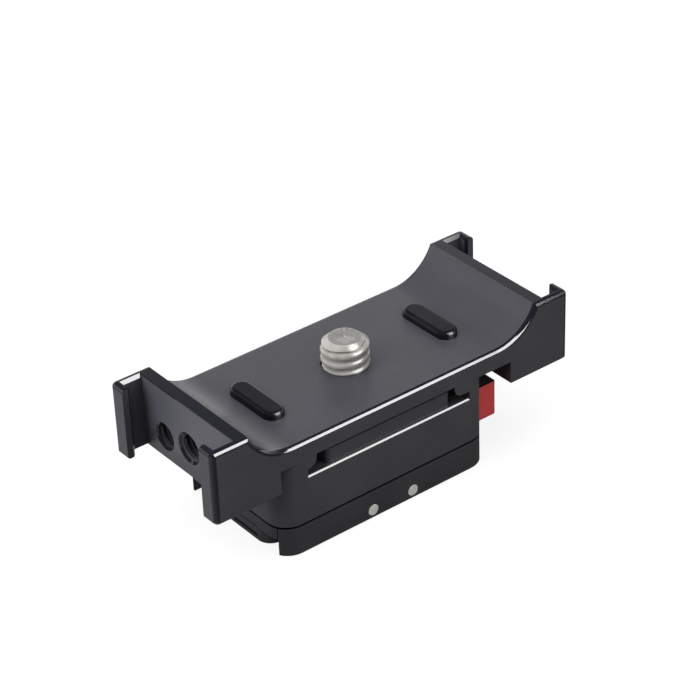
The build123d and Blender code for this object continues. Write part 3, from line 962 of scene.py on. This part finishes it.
@dataclass
class CameraScrew:
    """Captive screw: the CAD head and shank, with a real helical thread above the table."""

    finishes: FinishBook
    major_radius: float = 3.175
    root_radius: float = 2.58
    pitch: float = 1.27
    thread_start: float = 16.28
    lower_cut: float = 16.32
    tip: float = 20.14
    lead: float = 0.95
    tip_radius: float = 2.08
    mark_radius: float = 0.2
    mark_floor_radius: float = 0.05
    mark_depth: float = 0.2
    run_in: float = 1.2
    sharp_degrees: float = 33.0
    steps: int = 96

    def thread_profile(self) -> list[tuple[float, float]]:
        """Radius and height of one pitch of thread, with rounded crest and root.

        Returns:
            Points from root to root.
        """
        depth = self.major_radius - self.root_radius
        alongs = (0.0, 0.035, 0.09, 0.16, 0.25, 0.36, 0.5)
        outs = (0.0, 0.05, 0.3, 0.58, 0.82, 0.95, 1.0)
        upward = [
            (self.root_radius + depth * out, self.pitch * along) for along, out in zip(alongs, outs)
        ]
        downward = [(radius, self.pitch - height) for radius, height in reversed(upward[:-1])]
        return upward + downward

    def thread_shell(self) -> bmesh.types.BMesh:
        """Helical thread between its start and its tip, open at both ends.

        Returns:
            The thread's bmesh in metres.
        """
        bm = bmesh.new()
        low = self.thread_start - self.run_in * self.pitch
        verts = [
            bm.verts.new((radius * MM, 0, (low + height) * MM))
            for radius, height in self.thread_profile()
        ]
        edges = [bm.edges.new(pair) for pair in zip(verts, verts[1:])]
        turns = math.ceil((self.tip - low) / self.pitch) + 1
        bmesh.ops.spin(
            bm,
            geom=verts + edges,
            cent=(0, 0, 0),
            axis=(0, 0, 1),
            dvec=Vector((0, 0, self.pitch * MM / self.steps)),
            angle=math.tau * turns,
            steps=self.steps * turns,
        )
        bmesh.ops.remove_doubles(bm, verts=bm.verts, dist=1e-7)
        cut_off(bm, self.thread_start * MM, upper=False)
        cut_off(bm, self.tip * MM, upper=True)
        return bm

    def shape_lead(self, bm: bmesh.types.BMesh) -> None:
        """Narrows the last turn to the cone of its lead.

        Args:
            bm: The thread's bmesh in metres.
        """
        slope = (self.major_radius - self.tip_radius) / self.lead
        for vert in bm.verts:
            reach = Vector((vert.co.x, vert.co.y))
            room = (self.tip * MM - vert.co.z) * slope + self.tip_radius * MM
            if reach.length > room:
                vert.co.x *= room / reach.length
                vert.co.y *= room / reach.length

    def close_ends(self, bm: bmesh.types.BMesh) -> None:
        """Closes the foot flat, and the tip with a flat that has a small centre mark.

        Args:
            bm: The thread's bmesh in metres.
        """
        rim = [edge for edge in open_edges(bm) if edge.verts[0].co.z > (self.tip - 0.01) * MM]
        mark_floor = self.tip - self.mark_depth
        for reach, height in ((self.mark_radius, self.tip), (self.mark_floor_radius, mark_floor)):
            grown = bmesh.ops.extrude_edge_only(bm, edges=rim)["geom"]
            new_edges = [item for item in grown if isinstance(item, bmesh.types.BMEdge)]
            rim = [edge for edge in new_edges if edge.is_boundary]
            for vert in {vert for edge in rim for vert in edge.verts}:
                flat = Vector((vert.co.x, vert.co.y)).normalized() * reach * MM
                vert.co = Vector((flat.x, flat.y, height * MM))
        bmesh.ops.holes_fill(bm, edges=open_edges(bm), sides=0)
        bmesh.ops.triangulate(bm, faces=[face for face in bm.faces if len(face.verts) > 4])

    def lower_part(self) -> bmesh.types.BMesh:
        """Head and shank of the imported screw, cut off inside its thread relief.

        Returns:
            The lower part's bmesh in metres.
        """
        bm = bmesh.new()
        bm.from_mesh(frame["nodes"]["camera_screw"].data)
        bmesh.ops.remove_doubles(bm, verts=bm.verts, dist=1e-7)
        cut_off(bm, self.lower_cut * MM, upper=True)
        bmesh.ops.holes_fill(bm, edges=open_edges(bm), sides=0)
        return bm

    def build(self) -> bpy.types.Object:
        """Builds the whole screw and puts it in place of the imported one.

        Returns:
            The screw's object.
        """
        bm = self.thread_shell()
        self.shape_lead(bm)
        self.close_ends(bm)
        lower = self.lower_part()
        spare = bpy.data.meshes.new("lower_part")
        lower.to_mesh(spare)
        lower.free()
        bm.from_mesh(spare)
        bpy.data.meshes.remove(spare)
        name = "threaded_camera_screw"
        piece = object_from(bm, name, self.finishes.screw, self.sharp_degrees)
        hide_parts("camera_screw")
        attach(piece, Body.SCREW.value)
        return piece


@dataclass
class TappedHoles:
    """Thread ridges inside the three tapped holes of one end block."""

    finishes: FinishBook
    hand: Hand
    wall_radius: float = 1.7
    crest_radius: float = 1.55
    pitch: float = 0.7
    floor_reach: float = 19.55
    mouth_reach: float = 23.6
    centre_height: float = 14.2
    side_height: float = 13.3
    side_offset: float = 5.2
    sunk: float = 0.04
    root_share: float = 0.34
    crest_share: float = 0.06
    steps: int = 40

    def ridge(self, across: float, height: float) -> bmesh.types.BMesh:
        """One helical ridge along X, closed at both ends.

        Args:
            across: Place of the hole's axis along Y.
            height: Place of the hole's axis along Z.

        Returns:
            The ridge's bmesh in metres.
        """
        bm = bmesh.new()
        root, half = self.wall_radius + self.sunk, self.root_share * self.pitch
        tip, crest = self.crest_radius, self.crest_share * self.pitch
        centre = Vector((0, across * MM, height * MM))
        verts = [
            bm.verts.new(centre + Vector(((self.floor_reach + along) * MM, 0, radius * MM)))
            for along, radius in ((-half, root), (-crest, tip), (crest, tip), (half, root))
        ]
        edges = [bm.edges.new(pair) for pair in zip(verts, verts[1:] + verts[:1])]
        length = self.mouth_reach - self.floor_reach
        turns = length / self.pitch
        wind_along_x(bm, verts + edges, centre, length * MM, turns, round(self.steps * turns))
        return bm

    def build(self) -> list[bpy.types.Object]:
        """Builds the ridges of the three holes.

        Returns:
            The ridges' objects.
        """
        side = self.hand.name.lower()
        places = {
            "centre": (0.0, self.centre_height),
            "front": (-self.side_offset, self.side_height),
            "back": (self.side_offset, self.side_height),
        }
        pieces = []
        for label, (across, height) in places.items():
            bm = self.ridge(across, height)
            if self.hand is Hand.LEFT:
                bmesh.ops.scale(bm, vec=(-1, 1, 1), verts=bm.verts)
            piece = object_from(bm, f"{side}_{label}_hole_thread", self.finishes.deep)
            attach(piece, Body.BASE.value)
            pieces.append(piece)
        return pieces


@dataclass
class ReturnSpring:
    """Round-wire compression spring between the block and one arm of the button."""

    finishes: FinishBook
    node: str
    wire: float = 0.36
    turns: float = 3.5
    travel: float = 1.8
    sharp_degrees: float = 60.0
    sides: int = 10
    steps: int = 36

    def coil(self, low: Vector, high: Vector) -> bmesh.types.BMesh:
        """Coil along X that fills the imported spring's box, closed at both ends.

        Args:
            low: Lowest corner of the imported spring, in metres.
            high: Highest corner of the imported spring, in metres.

        Returns:
            The coil's bmesh in metres.
        """
        bm = bmesh.new()
        half = self.wire * MM / 2
        centre = (low + high) / 2
        start = Vector((low.x + half, centre.y, high.z - half))
        ring = bmesh.ops.create_circle(bm, segments=self.sides, radius=half)["verts"]
        upright = Matrix.Rotation(math.pi / 2, 3, "X")
        bmesh.ops.rotate(bm, verts=ring, cent=(0, 0, 0), matrix=upright)
        bmesh.ops.translate(bm, verts=ring, vec=start)
        geom, length = bm.verts[:] + bm.edges[:], high.x - low.x - 2 * half
        wind_along_x(bm, geom, centre, length, self.turns, round(self.steps * self.turns))
        return bm

    def build(self) -> bpy.types.Object:
        """Builds the spring.

        Returns:
            The spring's object.
        """
        low, high = (Vector(corner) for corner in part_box(self.node))
        bm = self.coil(low, high)
        piece = object_from(bm, f"{self.node}_coil", self.finishes.spring, self.sharp_degrees)
        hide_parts(self.node)
        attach(piece, Body.BASE.value)
        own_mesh(piece)
        return piece


class LampUse(Enum):
    """What a lamp is for: even light on the faces, or reflections on the edges."""

    FACES = "faces"
    EDGES = "edges"


@dataclass(frozen=True)
class Softbox:
    """Rectangular lamp that faces a point of the plate."""

    name: str
    use: LampUse
    place: Point
    width: float
    height: float
    radiance: float
    aim: Point = (0.0, 0.0, 0.014)

    def build(self) -> bpy.types.Object:
        """Makes the lamp.

        Returns:
            The lamp's object.
        """
        lamp = bpy.data.lights.new(self.name, "AREA")
        lamp.shape = "RECTANGLE"
        lamp.size, lamp.size_y = self.width, self.height
        lamp.energy = self.radiance * 4 * self.width * self.height
        piece = bpy.data.objects.new(self.name, lamp)
        away = Vector(self.place) - Vector(self.aim)
        turn = away.to_track_quat("Z", "Y").to_matrix().to_4x4()
        piece.matrix_world = Matrix.Translation(self.place) @ turn
        piece.visible_camera = False
        piece.visible_diffuse = self.use is LampUse.FACES
        piece.visible_glossy = self.use is LampUse.EDGES
        bpy.context.scene.collection.objects.link(piece)
        return piece


@dataclass
class Studio:
    """Plain white surroundings: floor, sky and softboxes."""

    floor_size: float = 6.0
    floor_tone: float = 0.12
    floor_glow: float = 0.87
    floor_mirror: float = 0.3
    floor_rear: tuple[float, float] = (-0.6, 0.8)
    sky_rear: tuple[float, float] = (0.61, 0.79)
    sky_seen: float = 1.0
    sky_diffuse: float = 0.25
    ceiling: float = 0.08
    backdrop: float = 0.85
    horizon: float = 0.9
    aim_height: float = 0.014
    panel_turns: tuple[float, ...] = (125.0, 145.0, 165.0)
    panel_reach: float = 0.43
    panel_across: float = 0.1395
    panel_width: float = 0.339
    panel_degrees: float = 20.0
    panel_radiance: float = 15.5

    def build_floor(self) -> bpy.types.Object:
        """Makes the floor, white to the camera and pale to everything else.

        Returns:
            The floor's object.
        """
        bm = bmesh.new()
        bmesh.ops.create_grid(bm, x_segments=2, y_segments=2, size=self.floor_size / 2)
        material = bpy.data.materials.new("studio_floor")
        material.use_nodes = True
        net = NodeNet(material.node_tree)
        material.node_tree.nodes.clear()
        place = net.add("ShaderNodeTexCoord").outputs["Object"]
        rear = net.ramp(net.ahead(net.split(place), self.floor_rear), -0.005, 0.03)
        rays = net.add("ShaderNodeLightPath").outputs
        mirror = net.times(rays["Is Glossy Ray"], net.between(rear, 0.0, self.floor_mirror))
        seen = net.sum_up("MAXIMUM", rays["Is Camera Ray"], rays["Is Transmission Ray"])
        glow = net.add("ShaderNodeEmission")
        strength = net.sum_up("ADD", net.times(seen, self.floor_glow), mirror)
        net.feed(glow.inputs["Strength"], strength)
        paint = net.add("ShaderNodeBsdfDiffuse")
        pale = (self.floor_tone, self.floor_tone, self.floor_tone)
        cloudy = net.blend(net.noise(place, 40.0), toned(pale), toned(pale, 1.03))
        net.feed(paint.inputs["Color"], cloudy)
        both = net.add("ShaderNodeAddShader")
        net.feed(both.inputs[0], paint.outputs[0])
        net.feed(both.inputs[1], glow.outputs[0])
        net.feed(net.add("ShaderNodeOutputMaterial").inputs[0], both.outputs[0])
        floor = object_from(bm, "studio_floor", material)
        return floor

    def build_sky(self) -> None:
        """Makes the surroundings: white to the camera, brightest low down in reflections."""
        world = bpy.data.worlds.new("studio_sky")
        bpy.context.scene.world = world
        world.use_nodes = True
        net = NodeNet(world.node_tree)
        sky = world.node_tree.nodes["Background"]
        sky.inputs["Color"].default_value = (1.0, 1.0, 1.0, 1.0)
        direction = net.split(net.add("ShaderNodeTexCoord").outputs["Generated"])
        behind = net.ramp(net.ahead(direction, self.sky_rear), -0.1, 0.25)
        lower = net.times(behind, net.ramp(direction[2], 0.565, 0.465))
        lowest = net.times(behind, net.ramp(direction[2], 0.42, 0.12))
        mirrored = net.between(lower, self.ceiling, self.backdrop)
        mirrored = net.sum_up("ADD", mirrored, net.times(lowest, self.horizon))
        rays = net.add("ShaderNodeLightPath").outputs
        glossy = net.between(rays["Is Glossy Ray"], self.sky_diffuse, mirrored)
        seen = net.sum_up("MAXIMUM", rays["Is Camera Ray"], rays["Is Transmission Ray"])
        net.feed(sky.inputs["Strength"], net.between(seen, glossy, self.sky_seen))

    def build_lamps(self) -> list[bpy.types.Object]:
        """Makes the softboxes.

        Returns:
            The lamps' objects.
        """
        boxes = [
            Softbox("overhead_softbox", LampUse.FACES, (-0.06, 0.04, 0.62), 0.7, 0.7, 3.2),
            Softbox("front_softbox", LampUse.FACES, (0.2, -0.42, 0.3), 0.3, 0.3, 1.6),
            Softbox("left_softbox", LampUse.FACES, (-0.45, 0.05, 0.25), 0.35, 0.35, 5.0),
        ]
        tall = 2 * self.panel_reach * math.tan(math.radians(self.panel_degrees / 2))
        aim = Vector((self.panel_across, 0.0, self.aim_height))
        for count, turn in enumerate(self.panel_turns):
            angle = math.radians(turn)
            place = aim + self.panel_reach * Vector((0.0, math.cos(angle), math.sin(angle)))
            panel = Softbox(
                f"edge_panel_{count + 1}",
                LampUse.EDGES,
                tuple(place),
                self.panel_width,
                tall,
                self.panel_radiance,
                tuple(aim),
            )
            boxes.append(panel)
        return [box.build() for box in boxes]

    def build(self) -> None:
        """Builds floor, sky and lamps."""
        self.build_floor()
        self.build_sky()
        for lamp in self.build_lamps():
            log.info("lamp %s", lamp.name)


@dataclass(frozen=True)
class PhotoCamera:
    """Camera at the photograph's place and angle."""

    place: Point = (-0.159445, -0.210042, 0.185714)
    azimuth: float = -37.3399
    elevation: float = 32.4448
    roll: float = -2.2351
    lens: float = 127.808

    def build(self) -> bpy.types.Object:
        """Makes the camera and gives it to the scene.

        Returns:
            The camera's object.
        """
        turn, rise, roll = map(math.radians, (self.azimuth, self.elevation, self.roll))
        level = Vector((math.cos(turn), math.sin(turn), 0))
        away = Vector((math.sin(turn), -math.cos(turn), 0))
        back = math.cos(rise) * away + Vector((0, 0, math.sin(rise)))
        right = math.cos(roll) * level + math.sin(roll) * back.cross(level)
        up = back.cross(right)
        camera = bpy.data.cameras.new("photo_camera")
        camera.lens = self.lens
        camera.sensor_width = 36.0
        camera.clip_start = 0.01
        piece = bpy.data.objects.new("photo_camera", camera)
        axes = Matrix((right, up, back)).transposed().to_4x4()
        piece.matrix_world = Matrix.Translation(self.place) @ axes
        bpy.context.scene.collection.objects.link(piece)
        bpy.context.scene.camera = piece
        return piece


def main() -> None:
    """Builds the finishes, the pieces, the studio and the camera in order."""
    logging.basicConfig(level=logging.INFO, format="%(name)s: %(message)s")
    bpy.context.scene.view_settings.view_transform = "Standard"
    finishes = FinishBook(SharedEffects())
    finishes.dress(frame["nodes"])
    screw = CameraScrew(finishes).build()
    log.info("%s has %d faces", screw.name, len(screw.data.polygons))
    for hand in Hand:
        for piece in TappedHoles(finishes, hand).build():
            log.info("%s has %d faces", piece.name, len(piece.data.polygons))
    for node in ("return_spring_front", "return_spring_back"):
        piece = ReturnSpring(finishes, node).build()
        log.info("%s has %d faces", piece.name, len(piece.data.polygons))
    Studio().build()
    log.info("camera %s", PhotoCamera().build().name)


if __name__ == "__main__":
    main()
